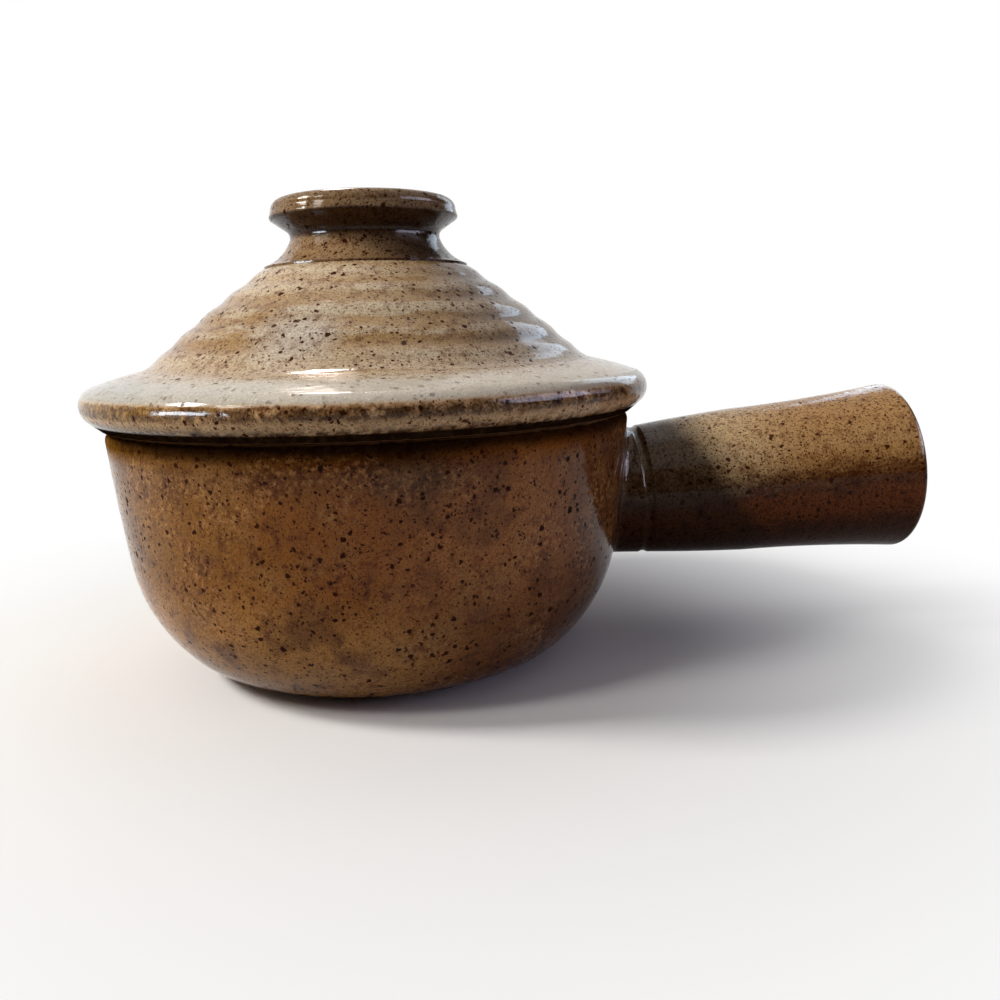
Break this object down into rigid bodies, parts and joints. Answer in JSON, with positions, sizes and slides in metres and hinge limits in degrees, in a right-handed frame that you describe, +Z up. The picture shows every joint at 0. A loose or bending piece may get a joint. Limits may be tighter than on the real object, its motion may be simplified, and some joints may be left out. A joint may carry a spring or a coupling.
{
  "type": "stoneware bean pot",
  "caption": "Round-bellied glazed stoneware pot with a hollow stick handle and a lift-off conical lid with a rolled brim and disc knob.",
  "frame": {"origin": "middle of the flat foot, on the surface that the pot stands on", "axes": "+Z up, +X along the stick handle, away from the bowl; +Y makes the frame right-handed"},
  "size_m": [0.2587, 0.1724, 0.1421],
  "materials": {
    "bowl_glaze": "glossy caramel glaze, thickly speckled with dark iron spots",
    "handle_glaze": "glossy golden brown glaze, thickly speckled with dark iron spots",
    "lid_glaze": "glossy pale tan glaze, milky where it lies thick, speckled with dark iron spots"
  },
  "bodies": {
    "pot": {"bowl": "bowl_glaze", "handle": "handle_glaze", "handle_coil": "handle_glaze"},
    "lid": {"lid": "lid_glaze", "knob": "lid_glaze"}
  },
  "joints": [
    {"name": "lid_lift", "type": "slide", "parent": "pot", "child": "lid", "axis": [0, 0, 1], "range_m": [0, 0.12]}
  ]
}
